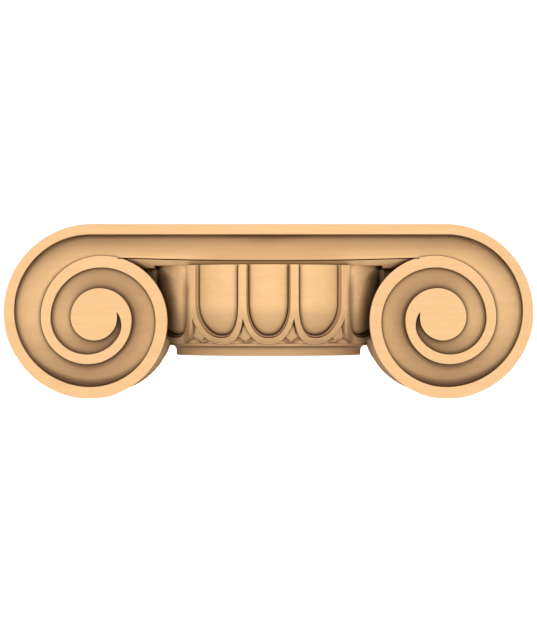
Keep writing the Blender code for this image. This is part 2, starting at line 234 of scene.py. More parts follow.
class EggSizes(bpy.types.PropertyGroup):
    """The echinus with its eggs, shells and darts."""

    pitch: length("Pitch", "Width of an egg with its shell", 54.6)
    last_egg: IntProperty(
        name="Last egg", description="Number of eggs on each side of the middle one", default=2, min=1)
    radius: length("Radius", "Radius of the echinus", 125)
    top: length("Top", "Height of the top of the eggs", 141)
    foot: length("Foot", "Height of the foot of the darts", 57.4)
    ovolo_radius: length("Ovolo radius", "Radius of the curve in to the collar", 65)
    ovolo_start: length("Ovolo start", "Height at which that curve begins", 99.4)
    centre: length("Centre", "Height at which an egg is widest", 104)
    egg: outline("Egg", "an egg", 21.6, 36.6)
    ledge: outline("Ledge", "the ledge's inner edge", 22, 37.8)
    mouth: outline("Mouth", "a shell's opening", 23.1, 40.1)
    shell: outline("Shell", "a shell's outside", 28.7, 46.6)
    bulge: length("Bulge", "How far an egg stands in front of its shell", 0.5)
    side_depth: length("Side depth", "Depth beside an egg", 6.5)
    foot_depth: length("Foot depth", "Depth under the foot of an egg", 8.5)
    ledge_depth: length("Ledge depth", "Depth of the ledge inside a shell's rim", 3.2)
    soften: length("Soften", "Width of the soft edge along the shells", 0.3)
    fork_depth: length("Fork depth", "Depth of a dart where two shells part", 22)
    dart_depth: length("Dart depth", "Depth of a dart's face at its widest", 3.2)
    gap_depth: length("Gap depth", "Depth of the cut between a dart and the shells", 8.0)
    dart_shoulder: length("Dart shoulder", "Height at which a dart is widest", 65.6)
    dart_point: length("Dart point", "Height of a dart's point", 60.0)
    leaf_depth: length("Leaf depth", "Depth of the crest of the leaves beside a dart's point", 1.8)
    leaf_cut: length("Leaf cut", "Depth at which the leaves start below a dart's shoulder", 8.0)


class CollarSizes(bpy.types.PropertyGroup):
    """The collar below the eggs."""

    radius: length("Radius", "Radius of the seat on the shaft", 101)
    fillet_radius: length("Fillet radius", "Radius of the fillet under the eggs", 108.8)
    fillet_top: length("Fillet top", "Height of the top of the fillet", 58.4)
    fillet_foot: length("Fillet foot", "Height of the underside of the fillet", 55.6)
    quirk: length("Quirk", "How far the cove starts behind the fillet", 2.2)
    foot: length("Foot", "Height of the seat on the shaft", 45)
    soften: length("Soften", "Width of the soft edges", 0.4)


class WoodAndPaintedShade(bpy.types.PropertyGroup):
    """The pale, smoothly sanded wood, and shade painted into its colour: darker in its hollows and where
    shade falls, lighter close under the front.
    """

    light: colour("Light", "Colour of the open wood", (0.80, 0.495, 0.245))
    grain: colour("Grain", "Colour of the denser grain", (0.74, 0.445, 0.212))
    # Painted shade, which the settings below call a finish: the colour the hollows are darkened to, and how
    # far and how much, standing in for the shade in them.
    painted_shade_colour: colour("Recess", "Colour that the finish deepens to in the hollows", (0.045, 0.014, 0.003))
    reach: length("Reach", "Size of the hollows it deepens in", 24)
    fall: strength("Fall", "How much the finish deepens in them", 1.9)
    corner_reach: length("Corner reach", "How near a corner the finish gathers", 5)
    corner_fall: strength("Corner fall", "How much the finish gathers in corners", 2.6)
    line_reach: length("Line reach", "Width of the dark line at the foot of the grooves' sides", 2)
    line_fall: strength("Line fall", "How dark that line is", 3.0)
    foot_reach: length("Foot reach", "Corner reach at the volutes' bottoms", 10)
    foot_gain: strength("Foot gain", "How many times more it gathers there", 2.0)
    top_share: portion("Top share", "How much of every fall is left under the top fillet", 0.6)
    middle_share: portion("Middle share", "How much of it is left there in the middle of the front", 0.85)
    egg_fall: strength("Fall on the eggs", "How much the finish deepens between the eggs", 0.55)
    egg_corner_fall: strength("Corner fall on the eggs", "How much it gathers in the corners there", 0.65)
    egg_line_fall: strength("Line fall on the eggs", "How dark the line in those corners is", 0.1)
    # Painted light: the eggs close under the front are painted lighter, against the shadow the front casts on
    # them.
    shelter: length("Shelter", "Drop below the front in which the eggs stay lighter", 20)
    shelter_painted_light: strength("Shelter lift", "How much lighter they stay", 5.6)
    # Painted shade: how much of the colour is left where shade falls, by the volutes, the last ribs, the
    # eggs' feet, the band and the collar.
    scroll_shade: portion("Scroll tone", "Share of the colour left on the last eggs, behind the volutes", 0.33)
    last_rib_shade: portion("Last rib tone", "Share left beside the last ribs", 0.5)
    foot_shade: portion("Foot tone", "Share left on the lower half of the eggs", 0.84)
    band_shade: portion("Band tone", "Share left on the band under the lip", 0.78)
    collar_shade: portion("Collar tone", "Share left on the collar", 0.7)
    quirk_shade: portion("Quirk tone", "Share of that left in the quirk under the fillet", 0.56)
    roughness: portion("Roughness", "Roughness of the sanded wood", 0.62)
    bump: portion("Bump", "Strength of the pores", 0.08)


class StudioSettings(bpy.types.PropertyGroup):
    """The floor, the soft light and the camera."""

    floor_colour: colour("Floor", "Colour of the floor", (0.95, 0.95, 0.95))
    floor_glow: strength("Floor glow", "Brightness the floor has of its own", 0.8)
    light_above: strength("Light above", "Brightness of the surround overhead", 0.85)
    light_below: strength("Light below", "Brightness of the surround underneath", 0.15)
    backdrop: strength("Backdrop", "Brightness of the backdrop as it is seen", 1.1)
    lamp_power: setting("Lamps", "Power of each large lamp", 55.0, min=0, unit="POWER")
    lamp_size: length("Lamp size", "Width of each large lamp", 1400)
    lamp_distance: length("Lamp distance", "Distance of each large lamp", 2400)
    lamp_height: setting("Lamp height", "Angle of the lamps over the horizon", radians(1), subtype="ANGLE")
    distance: length("Distance", "Distance from the camera to the capital's middle", 2337)
    eye_height: length("Eye height", "Height of the camera", 83)
    lens: setting("Lens", "Focal length", 122.99, min=1, unit="CAMERA")
    pitch: setting("Pitch", "Upward tilt of the camera", radians(0.243), subtype="ANGLE")


class CapitalSettings(bpy.types.PropertyGroup):
    """Everything that can be changed about the capital."""

    scrolls: PointerProperty(type=ScrollSizes)
    eggs: PointerProperty(type=EggSizes)
    collar: PointerProperty(type=CollarSizes)
    wood: PointerProperty(type=WoodAndPaintedShade)
    studio: PointerProperty(type=StudioSettings)


# Working with objects.

def deselect():
    if bpy.context.mode != "OBJECT":
        bpy.ops.object.mode_set(mode="OBJECT")
    bpy.ops.object.select_all(action="DESELECT")


def pick(thing):
    """Makes an object the selected and active one."""
    deselect()
    thing.select_set(True)
    bpy.context.view_layer.objects.active = thing


def rename(thing, name):
    thing.name = name
    thing.data.name = name
    return thing


def select_whole():
    bpy.ops.mesh.select_all(action="SELECT")


def edit(thing):
    """Goes into edit mode with all of an object selected."""
    pick(thing)
    bpy.ops.object.mode_set(mode="EDIT")
    select_whole()


def face_outwards():
    select_whole()
    bpy.ops.mesh.normals_make_consistent(inside=False)


def apply_place():
    """Puts the place of the selected object in its mesh."""
    bpy.ops.object.transform_apply(location=True, rotation=True, scale=True)


def settle(name):
    """Leaves edit mode, puts the new object's place in its mesh, and names it."""
    bpy.ops.object.mode_set(mode="OBJECT")
    apply_place()
    return rename(bpy.context.object, name)


def join_all(things):
    """Makes one object of several, under the first one's name."""
    pick(things[0])
    for thing in things:
        thing.select_set(True)
    bpy.ops.object.join()
    return bpy.context.object


def placed_grid(name, rows):
    """A grid with each point moved to its place. It stands for a carved surface that no turning gives."""
    deselect()
    bpy.ops.mesh.primitive_grid_add(x_subdivisions=len(rows[0]) - 1, y_subdivisions=len(rows) - 1, size=1)
    grid = rename(bpy.context.object, name)
    grid.data.vertices.foreach_set("co", [value for row in rows for point in row for value in point])
    grid.data.update()
    return grid


def weld(thing):
    """Joins doubled points and stays in edit mode."""
    edit(thing)
    bpy.ops.mesh.remove_doubles(threshold=WELD)
    bpy.ops.mesh.dissolve_degenerate(threshold=WELD)


def close_up(thing):
    """Welds the seams of a rolled-up grid, fills its open ends and turns its faces outwards."""
    weld(thing)
    select_whole()
    bpy.ops.mesh.fill_holes(sides=0)
    face_outwards()
    bpy.ops.object.mode_set(mode="OBJECT")
    return thing


def combine(target, tool, operation):
    """Cuts a tool out of the target, or joins it on, and removes the tool."""
    pick(target)
    cut = target.modifiers.new(tool.name, "BOOLEAN")
    cut.object = tool
    cut.operation = operation
    cut.solver = "EXACT"
    bpy.ops.object.modifier_apply(modifier=cut.name)
    bpy.data.objects.remove(tool, do_unlink=True)


def turned_copy(thing):
    """A copy of something at the front, turned half round to the back."""
    pick(thing)
    bpy.ops.object.duplicate()
    bpy.ops.transform.rotate(value=pi, orient_axis="Z", center_override=(0, 0, 0))
    apply_place()
    return bpy.context.object


# The compass curves.

def shares(steps):
    """Equal steps from 0 to 1."""
    return [step / steps for step in range(steps + 1)]


def smooth(share):
    """Eases from 0 to 1."""
    clamped = min(max(share, 0.0), 1.0)
    return clamped * clamped * (3 - 2 * clamped)


def arc_point(first_x, top, arcs, turn, inset=0.0):
    """A point on a compass-drawn spiral, at a turn in degrees. Where two arcs meet, the centre moves along
    the line to the joint, so that the curve runs on smoothly. An inset moves the point to the centre."""
    x = first_x
    z = top - arcs[0][0]
    for number, (radius, end) in enumerate(arcs):
        if turn <= end or number == len(arcs) - 1:
            angle = radians(turn)
            return x + (radius - inset) * sin(angle), z + (radius - inset) * cos(angle)
        change = radius - arcs[number + 1][0]
        x += change * sin(radians(end))
        z += change * cos(radians(end))


def outer_edge(turn, inset=0.0):
    return arc_point(OUTER_CENTRE_X, HEIGHT, OUTER_ARCS, turn, inset)


def inner_edge(turn, sizes):
    return arc_point(INNER_CENTRE_X, HEIGHT - sizes.fillet, INNER_ARCS, turn)


def solve(function, low, high):
    """Where a function that changes sign between low and high is zero."""
    rising = function(high) > 0
    for _ in range(HALVINGS):
        middle = (low + high) / 2
        if (function(middle) > 0) == rising:
            high = middle
        else:
            low = middle
    return (low + high) / 2


def turn_at_height(height, inset):
    """The turn, on the inner side of the volute, at which its outline rises to a height."""
    return solve(lambda turn: outer_edge(turn, inset)[1] - height, THREE_QUARTERS, FULL_TURN - 1)


def lip_height(x, sizes):
    """The lower edge of the channel, which is lowest in the middle."""
    share = min(x / LIP_END_X, 1.0)
    return HEIGHT - sizes.lip_drop + sizes.lip_rise * share * share


def lip_end_turn(sizes):
    """The turn at which the inner turn of the volute takes over from the lip."""

    def gap(turn):
        x, z = outer_edge(turn)
        return z - lip_height(x, sizes)

    return solve(gap, LIP_SEARCH_TURN, FULL_TURN - 1)


def groove_depths(turn):
    """The groove's depth beside the outer fillet and beside the inner one."""
    if turn <= GROOVE_DEPTHS[0][0]:
        return GROOVE_DEPTHS[0][1:]
    for near, far in zip(GROOVE_DEPTHS, GROOVE_DEPTHS[1:]):
        if turn <= far[0]:
            share = smooth((turn - near[0]) / (far[0] - near[0]))
            return tuple(a + (b - a) * share for a, b in zip(near[1:], far[1:]))
    return GROOVE_DEPTHS[-1][1:]


def eye_centre():
    """The centre of the last arc, which bounds the eye."""
    radius = OUTER_ARCS[-1][0]
    x, z = outer_edge(THREE_QUARTERS + 2 * FULL_TURN)
    return x + radius, z


def tail_eye_turn(x, z):
    """The turn on the eye's last arc that faces a point."""
    centre_x, centre_z = eye_centre()
    return 2 * FULL_TURN + degrees(atan2(x - centre_x, z - centre_z)) % FULL_TURN


def tail_gap(turn, sizes):
    """How wide the groove still is near its tail."""
    x, z = inner_edge(turn, sizes)
    centre_x, centre_z = eye_centre()
    return hypot(x - centre_x, z - centre_z) - OUTER_ARCS[-1][0]


# The scrolls and the front.

def groove_stations(sizes):
    """Opposite points along the groove, from the middle of the front to its tail in the eye, with the depths
    of the floor beside them."""
    stations = []
    lip_turn = lip_end_turn(sizes)
    end_x = outer_edge(lip_turn)[0]
    straight = INNER_CENTRE_X * STRAIGHT_SHARE
    top = HEIGHT - sizes.fillet
    for share in shares(CHANNEL_STEPS)[:-1]:
        over = LIP_OVERCUT * min((1 - share) * LIP_FADE, 1.0)
        lower = (end_x * share, lip_height(end_x * share, sizes) - over)
        stations.append(((straight * share, top), lower, groove_depths(0)))
    for share in shares(CORNER_STEPS)[:-1]:
        upper = (straight + (INNER_CENTRE_X - straight) * share, top)
        lower = outer_edge(lip_turn + (FULL_TURN - lip_turn) * share)
        stations.append((upper, lower, groove_depths(0)))
    for turn in range(0, TAIL_TURN, SPIRAL_STEP):
        stations.append((inner_edge(turn, sizes), outer_edge(turn + FULL_TURN), groove_depths(turn)))
    last = solve(lambda turn: tail_gap(turn, sizes) - TAIL_GAP, TAIL_TURN, TAIL_LIMIT)
    eye_first = TAIL_TURN + FULL_TURN
    eye_last = tail_eye_turn(*inner_edge(last, sizes))
    for share in shares(TAIL_STEPS):
        upper = inner_edge(TAIL_TURN + (last - TAIL_TURN) * share, sizes)
        lower = outer_edge(eye_first + (eye_last - eye_first) * share)
        stations.append((upper, lower, groove_depths(TAIL_TURN + (TAIL_DEPTH_TURN - TAIL_TURN) * share)))
    return stations


def groove_section(station, sizes):
    """The groove's section, as a closed row of points: a softened mouth, a side, a small cove, the floor, and
    back up the other side."""
    (upper_x, upper_z), (lower_x, lower_z), (upper_depth, lower_depth) = station
    width = hypot(lower_x - upper_x, lower_z - upper_z)
    along_x = (lower_x - upper_x) / width
    along_z = (lower_z - upper_z) / width
    soft = min(sizes.chamfer, width / 4)
    cove = min(sizes.cove, width / 4)
    corner = []
    for share in shares(FOOT_STEPS)[:-1]:
        angle = pi / 2 * share
        corner.append((cove * (1 - cos(angle)), cove * (1 - sin(angle))))
    profile = [(-soft - GROOVE_FLARE, -GROOVE_FLARE), (0.0, soft)]
    profile += [(across, upper_depth - rise) for across, rise in corner]
    for share in shares(FLOOR_STEPS):
        dip = sizes.hollow * 4 * share * (1 - share) * min(width / FULL_HOLLOW_WIDTH, 1)
        across = cove + (width - 2 * cove) * share
        profile.append((across, upper_depth + (lower_depth - upper_depth) * share + dip))
    profile += [(width - across, lower_depth - rise) for across, rise in reversed(corner)]
    profile += [(width, soft), (width + soft + GROOVE_FLARE, -GROOVE_FLARE), profile[0]]
    face = -sizes.depth / 2
    return [(upper_x + along_x * s, face + depth, upper_z + along_z * s) for s, depth in profile]


def groove_cutter(sizes):
    """Cuts the channel and both scrolls out of the front, in one run from eye to eye."""
    half = [groove_section(station, sizes) for station in groove_stations(sizes)]
    other = [[(-x, y, z) for x, y, z in row] for row in reversed(half[1:])]
    return close_up(placed_grid("groove_cutter", other + half))


def band_roll(drop):
    """How far the band has rolled under at a drop below the lip."""
    depth = BAND_ROLL[0][1] * min(drop, BAND_ROLL[1][0])
    for number, (start, slant) in enumerate(BAND_ROLL[1:], 1):
        end = BAND_ROLL[number + 1][0] if number + 1 < len(BAND_ROLL) else drop
        depth += slant * max(min(drop, end) - start, 0.0)
    return depth


def band_cutter(name, sizes, setback, foot_drop):
    """Sets back what is below the lip, between the volutes, down to a given drop below the lip. Without one,
    it goes below the front's lower edge and the band rolls under."""
    lip_turn = lip_end_turn(sizes)
    end_x = outer_edge(lip_turn)[0]
    top = [(end_x * share, lip_height(end_x * share, sizes)) for share in shares(CHANNEL_STEPS)]
    if foot_drop is None:
        low_turn = turn_at_height(HEIGHT - sizes.band_drop - MARGIN, 0)
        side = [outer_edge(lip_turn + (low_turn - lip_turn) * share) for share in shares(UNDERSIDE_STEPS)[1:]]
    else:
        side = [(x, z - foot_drop) for x, z in reversed(top)]
    half = top + side
    whole = [(-x, z) for x, z in reversed(half) if x > WELD] + half
    near = -sizes.depth / 2 - MARGIN
    far = -sizes.depth / 2 + setback
    deselect()
    bpy.ops.mesh.primitive_circle_add(vertices=len(whole), radius=HALF_WIDTH, fill_type="NGON")
    plate = bpy.context.object
    plate.data.vertices.foreach_set("co", [value for x, z in whole for value in (x, near, z)])
    edit(plate)
    bpy.ops.mesh.extrude_region_move(TRANSFORM_OT_translate={"value": (0, far - near, 0)})
    face_outwards()
    lip = HEIGHT - sizes.lip_drop
    if foot_drop is None:
        for drop, _ in BAND_ROLL[1:]:
            select_whole()
            bpy.ops.mesh.bisect(plane_co=(0, 0, lip - drop), plane_no=(0, 0, 1))
    plate = settle(name)
    if foot_drop is None:
        for point in plate.data.vertices:
            if point.co.y > far - WELD:
                point.co.y += band_roll(lip - point.co.z)
    return plate


def block_outline(sizes, bed, waist, chamfer):
    """Half of the block's outline, seen from the front, with the volute drawn in by the waist."""
    underside = HEIGHT - sizes.band_drop
    inset = waist + chamfer
    end = turn_at_height(underside, inset)
    turns = list(range(0, THREE_QUARTERS, OUTLINE_STEP))
    turns += [THREE_QUARTERS + (end - THREE_QUARTERS) * share for share in shares(UNDERSIDE_STEPS)]
    points = [outer_edge(turn, waist * smooth(turn / WAIST_FULL) + chamfer) for turn in turns]
    foot = [(sizes.bed_half_width, underside), (sizes.bed_half_width, bed), (0.0, bed)]
    return [(0.0, HEIGHT - chamfer)] + points + foot


def block(sizes, bed):
    """The block that the capital is carved from: the bed, both volutes and the bolsters behind them."""
    half_depth = sizes.depth / 2
    inner = half_depth - sizes.rim
    soft = sizes.chamfer
    front = [(-half_depth, 0.0, soft), (-half_depth + soft, 0.0, 0.0), (-inner - soft, 0.0, 0.0)]
    for step in range(1, WAIST_STEPS + 1):
        angle = pi / 2 * step / (WAIST_STEPS + 0.5)
        front.append((-inner * cos(angle), sizes.waist * sin(angle), 0.0))
    stations = front + [(-y, waist, chamfer) for y, waist, chamfer in reversed(front)]
    rows = []
    for y, waist, chamfer in stations:
        half = block_outline(sizes, bed, waist, chamfer)
        whole = half + [(-x, z) for x, z in reversed(half[:-1])]
        rows.append([(x, y, z) for x, z in whole])
    return close_up(placed_grid("block", rows))


def web(sizes, top):
    """The uncut wood between the bolsters, over the echinus's shoulders."""
    deselect()
    size = (2 * sizes.web_half_width, sizes.web_length, top - sizes.web_foot)
    middle = (0, 0, (top + sizes.web_foot) / 2)
    bpy.ops.mesh.primitive_cube_add(size=1, location=middle, scale=size)
    edit(bpy.context.object)
    bpy.ops.mesh.subdivide(number_cuts=2)
    return settle("web")


# The echinus.

def ovolo_radius(z, eggs):
    """The echinus is straight above, and curves in to the collar below."""
    drop = max(eggs.ovolo_start - z, 0.0)
    return eggs.radius - eggs.ovolo_radius + sqrt(eggs.ovolo_radius ** 2 - drop ** 2)


def turn_at(across, eggs):
    """How far round the echinus a point is, when it is seen at a distance across from the front's middle. The
    last egg is opened out, so that it ends at the side."""
    last_rib = (eggs.last_egg - 0.5) * eggs.pitch
    rest = abs(across) - last_rib
    if rest <= 0:
        return asin(across / eggs.radius)
    start = asin(last_rib / eggs.radius)
    rate = 1 / (eggs.radius * cos(start))
    opening = (pi / 2 - start - rate * eggs.pitch) / eggs.pitch ** 2
    return copysign(start + rate * rest + opening * rest * rest, across)


def fork_angle(eggs):
    """The angle on a shell's outer curve at which it parts from the next shell."""
    return acos((eggs.pitch / 2 / eggs.shell[0]) ** (EGG_POWER / 2))


def shoulder_angle(eggs):
    """The angle on a shell's outer curve that is level with the dart's shoulder."""
    return asin(((eggs.centre - eggs.dart_shoulder) / eggs.shell[1]) ** (EGG_POWER / 2))


def dart_shares():
    """Where the points of a dart's face lie, from the fork to the shoulder. The last lies close to the
    shoulder, for a crisp edge."""
    return shares(SHELL_STEPS // 2)[:-2] + [LAST_DART_SHARE]


def curve_angles(eggs):
    """The angles at which every egg and shell curve is drawn. Two of them are where shells part and where a
    dart has its shoulder."""
    fork = fork_angle(eggs)
    shoulder = shoulder_angle(eggs)
    above = [fork * share for share in shares(OVOLO_STEPS)[:-1]]
    beside = [fork + (shoulder - fork) * share for share in dart_shares()]
    below = [shoulder + (pi / 2 - shoulder) * share for share in shares(SHELL_STEPS // 2)]
    return above + beside + below


def egg_curve(size, relief, eggs, inset=0.0):
    """Half the outline of an egg or a shell, from its flat top, down its straight side and round to its foot.
    Each point is a distance across, a height and the relief there."""
    half_width = size[0] - inset
    drop = size[1] - inset
    half_pitch = eggs.pitch / 2
    points = []
    for share in shares(OVOLO_STEPS)[:-1]:
        height = eggs.top + (eggs.centre - eggs.top) * share
        points.append((min(half_width, half_pitch), height, relief))
    for angle in curve_angles(eggs):
        across = half_width * max(cos(angle), 0.0) ** (2 / EGG_POWER)
        height = eggs.centre - drop * sin(angle) ** (2 / EGG_POWER)
        points.append((min(across, half_pitch), height, relief))
    return points


def dart_face(height, eggs):
    """The relief of a dart's face and that of the cut beside it. Both are deepest in the fork between the
    shells, and come forward towards the shoulder."""
    fork = egg_curve(eggs.shell, 0.0, eggs)[FORK][1]
    left = 1 - min(max((fork - height) / (fork - eggs.dart_shoulder), 0.0), 1.0)
    face = -eggs.dart_depth - (eggs.fork_depth - eggs.dart_depth) * left ** FORK_POWER
    return face, face - eggs.gap_depth * left ** GAP_POWER


def dart_middle(eggs):
    """Points down the middle of a dart to its point, on to the foot, and back to the middle of the egg."""
    half_pitch = eggs.pitch / 2
    fork = egg_curve(eggs.shell, 0.0, eggs)[FORK][1]
    points = [(half_pitch, fork + (eggs.dart_point - fork) * share) for share in dart_shares()]
    for share in shares(DART_FOOT_STEPS)[:-1]:
        height = eggs.dart_point + (eggs.foot - eggs.dart_point) * share
        points.append((half_pitch, height))
    back = SHELL_STEPS // 2 - DART_FOOT_STEPS
    return points + [(half_pitch * (1 - share), eggs.foot) for share in shares(back)]


def dart_rows(outside, eggs):
    """From the foot of a shell's side to the middle of the dart: the dart's face, and the leaf below its
    shoulder, with a fine line cut between them."""
    middle = dart_middle(eggs)
    rows = []
    for share in DART_SHARES:
        row = list(outside[:FORK + 1])
        for number in range(FORK + 1, len(outside)):
            edge_across, edge_height, _ = outside[number]
            middle_across, middle_height = middle[number - FORK]
            across = edge_across + (middle_across - edge_across) * share
            height = max(edge_height + (middle_height - edge_height) * share, eggs.foot)
            beside = 1 - smooth(share / GAP_SHARE)
            if number < SHOULDER:
                face, cut = dart_face(height, eggs)
                relief = face + (cut - face) * beside
            else:
                rise = max(smooth((number - SHOULDER) / LEAF_STEPS), LEAF_CREST * smooth(share ** LEAF_POWER))
                relief = -eggs.leaf_cut + (eggs.leaf_cut - eggs.leaf_depth) * rise
            row.append((across, height, relief))
        rows.append(row)
    return rows


def egg_slopes(eggs):
    """How much each point of an egg's curve belongs to its foot: 0 along the side and 1 underneath."""
    return [0.0] * OVOLO_STEPS + [smooth(sin(angle)) for angle in curve_angles(eggs)]


def egg_rows(eggs):
    """Half an egg, its ledge, its shell and half a dart, as rows of points from the egg's middle outwards."""
    rows = []
    slopes = egg_slopes(eggs)
    for share in EGG_SHARES:
        flat = egg_curve((eggs.egg[0] * share, eggs.egg[1] * share), 0.0, eggs)
        row = []
        for (across, height, _), slope in zip(flat, slopes):
            power = SIDE_POWER + (FOOT_POWER - SIDE_POWER) * slope
            depth = eggs.side_depth + (eggs.foot_depth - eggs.side_depth) * slope
            row.append((across, height, (eggs.bulge + depth) * (1 - share ** power) ** 0.5 - depth))
        rows.append(row)
    soft = eggs.soften
    rows.append([
        (across, height, -eggs.side_depth - (eggs.foot_depth - eggs.side_depth) * slope)
        for (across, height, _), slope in zip(egg_curve(eggs.ledge, 0.0, eggs, soft), slopes)])
    for size, relief, inset in (
            (eggs.ledge, -eggs.ledge_depth - soft, 0.0), (eggs.ledge, -eggs.ledge_depth, -soft),
            (eggs.mouth, -eggs.ledge_depth, 2 * soft), (eggs.mouth, -eggs.ledge_depth - soft, soft),
            (eggs.mouth, -soft, 0.0), (eggs.mouth, 0.0, -soft)):
        rows.append(egg_curve(size, relief, eggs, inset))
    outside = egg_curve(eggs.shell, 0.0, eggs)
    face = egg_curve(eggs.shell, 0.0, eggs, soft)
    level = [(across, outside[number][1], 0.0) for number, (across, _, _) in enumerate(face[:FORK + 1])]
    rows.append(level + face[FORK + 1:])
    rows.append(outside[:FORK + 1] + [(across, height, -soft) for across, height, _ in outside[FORK + 1:]])
    return rows + dart_rows(outside, eggs)


def half_egg(eggs):
    """Half an egg bay, carved flat: X across, Z up, and the relief along Y."""
    rows = [[(across, -relief, height) for across, height, relief in row] for row in egg_rows(eggs)]
    return placed_grid("half_egg", rows)


def strip_of_eggs(eggs):
    """A flat strip of eggs: one half bay mirrored, then copied along."""
    half = half_egg(eggs)
    bays = []
    for egg in range(-eggs.last_egg, eggs.last_egg + 1):
        for side in (-1, 1):
            pick(half)
            bpy.ops.object.duplicate()
            bpy.ops.transform.resize(value=(side, 1, 1), center_override=(0, 0, 0))
            bpy.ops.transform.translate(value=(egg * eggs.pitch, 0, 0))
            apply_place()
            bays.append(bpy.context.object)
    bpy.data.objects.remove(half, do_unlink=True)
    return join_all(bays)


def echinus(eggs):
    """The ring of eggs and darts: the strip wrapped round the front, copied to the back, and closed by flat
    beds above and below."""
    strip = strip_of_eggs(eggs)
    places = []
    for point in strip.data.vertices:
        across, relief, height = point.co.x, -point.co.y, point.co.z
        turn = turn_at(across, eggs)
        radius = ovolo_radius(height, eggs) + relief
        places += [radius * sin(turn), -radius * cos(turn), height]
    strip.data.vertices.foreach_set("co", places)
    strip.data.update()
    return close_up(rename(join_all([strip, turned_copy(strip)]), "echinus"))


# The collar.

def collar_profile(sizes):
    """The collar's outside from the top down: a fillet, a quirk, a cove and a plain foot."""
    soft = sizes.soften
    cove = sizes.fillet_radius - sizes.quirk - sizes.radius
    points = [
        (sizes.fillet_radius - soft, sizes.fillet_top),
        (sizes.fillet_radius, sizes.fillet_top - soft),
        (sizes.fillet_radius, sizes.fillet_foot + soft),
        (sizes.fillet_radius - soft, sizes.fillet_foot),
    ]
    for share in shares(COVE_STEPS):
        angle = pi / 2 * share
        across = sizes.radius + cove * (1 - sin(angle))
        points.append((across, sizes.fillet_foot - cove * (1 - cos(angle))))
    points += [(sizes.radius, sizes.foot + soft), (sizes.radius - soft, sizes.foot)]
    return points


def collar(sizes):
    """The round collar below the eggs, drawn down from a disc and flat underneath."""
    profile = collar_profile(sizes)
    radius, height = profile[0]
    deselect()
    bpy.ops.mesh.primitive_circle_add(
        vertices=COLLAR_SIDES, radius=radius, fill_type="NGON", location=(0, 0, height))
    edit(bpy.context.object)
    for next_radius, next_height in profile[1:]:
        scale = next_radius / radius
        bpy.ops.mesh.extrude_region_move(TRANSFORM_OT_translate={"value": (0, 0, next_height - height)})
        bpy.ops.transform.resize(value=(scale, scale, 1), center_override=(0, 0, next_height))
        radius, height = next_radius, next_height
    face_outwards()
    return settle("collar")


def check_closed(thing):
    """Stops if the finished carving has an open or a crossed edge."""
    work = bmesh.new()
    work.from_mesh(thing.data)
    bad = sum(not edge.is_manifold for edge in work.edges)
    work.free()
    if bad:
        raise RuntimeError(f"{thing.name} has {bad} edges that don't join two faces")


# The wood.

class Shading:
    """A tree of nodes, with the arithmetic that joins them."""

    def __init__(self, tree, coordinates):
        self.nodes = tree.nodes
        self.links = tree.links
        self.place = self.nodes.new("ShaderNodeTexCoord").outputs[coordinates]
        parts = self.nodes.new("ShaderNodeSeparateXYZ")
        self.links.new(self.place, parts.inputs["Vector"])
        self.x, self.y, self.z = parts.outputs

    def fill(self, socket, value):
        """Joins a socket to another one, or sets its value."""
        if isinstance(value, bpy.types.NodeSocket):
            self.links.new(value, socket)
        else:
            socket.default_value = value

    def maths(self, operation, *values):
        node = self.nodes.new("ShaderNodeMath")
        node.operation = operation
        for socket, value in zip(node.inputs, values):
            self.fill(socket, value)
        return node.outputs["Value"]

    def product(self, first, *others):
        for other in others:
            first = self.maths("MULTIPLY", first, other)
        return first

    def ranged(self, value, span, start, end):
        """Goes from start to end while a value crosses a span."""
        node = self.nodes.new("ShaderNodeMapRange")
        for name, limit in zip(("From Min", "From Max", "To Min", "To Max"), (*span, start, end)):
            node.inputs[name].default_value = limit
        self.links.new(value, node.inputs["Value"])
        return node.outputs["Result"]


class WoodShading(Shading):
    """The nodes of a material that changes with the place in the wood."""

    def __init__(self, tree):
        super().__init__(tree, "Object")
        squares = self.maths("ADD", self.product(self.x, self.x), self.product(self.y, self.y))
        self.measures = {
            "height": self.z,
            "sideways": self.maths("ABSOLUTE", self.x),
            "outwards": self.maths("ABSOLUTE", self.y),
            "spread": self.maths("SQRT", squares),
        }
        self.echinus = self.inside(ECHINUS)

    def bound(self, measure, outside, inside):
        """Goes from 0 to 1 between two values of a measure."""
        return self.ranged(self.measures[measure], (outside * MM, inside * MM), 0.0, 1.0)

    def inside(self, bounds):
        """1 where all the bounds of a place are kept, and 0 outside it."""
        return self.product(*[self.bound(*each) for each in bounds])

    def mixed(self, factor, first, second):
        """Mixes two colours."""
        node = self.nodes.new("ShaderNodeMix")
        node.data_type = "RGBA"
        self.links.new(factor, node.inputs["Factor"])
        sockets = [socket for socket in node.inputs if socket.type == "RGBA"]
        for socket, value in zip(sockets, (first, second)):
            self.fill(socket, value)
        return next(socket for socket in node.outputs if socket.type == "RGBA")

    def noise(self, stretch, scale, detail, distortion=0.0):
        mapping = self.nodes.new("ShaderNodeMapping")
        mapping.inputs["Scale"].default_value = stretch
        self.fill(mapping.inputs["Vector"], self.place)
        noise = self.nodes.new("ShaderNodeTexNoise")
        for name, value in (
                ("Vector", mapping.outputs["Vector"]), ("Scale", scale), ("Detail", detail),
                ("Roughness", NOISE_ROUGHNESS), ("Distortion", distortion)):
            self.fill(noise.inputs[name], value)
        return noise.outputs["Fac"]

    def hollows(self, reach, gain, fall, fall_on_eggs):
        """Painted shade: dark in the hollows that are narrower than a reach, and more so with a greater fall.
        """
        node = self.nodes.new("ShaderNodeAmbientOcclusion")
        node.samples = HOLLOW_SAMPLES
        node.only_local = True
        self.fill(node.inputs["Distance"], reach)
        here = self.product(self.ranged(self.echinus, (0.0, 1.0), fall, fall_on_eggs), gain)
        return self.maths("POWER", node.outputs["AO"], here)


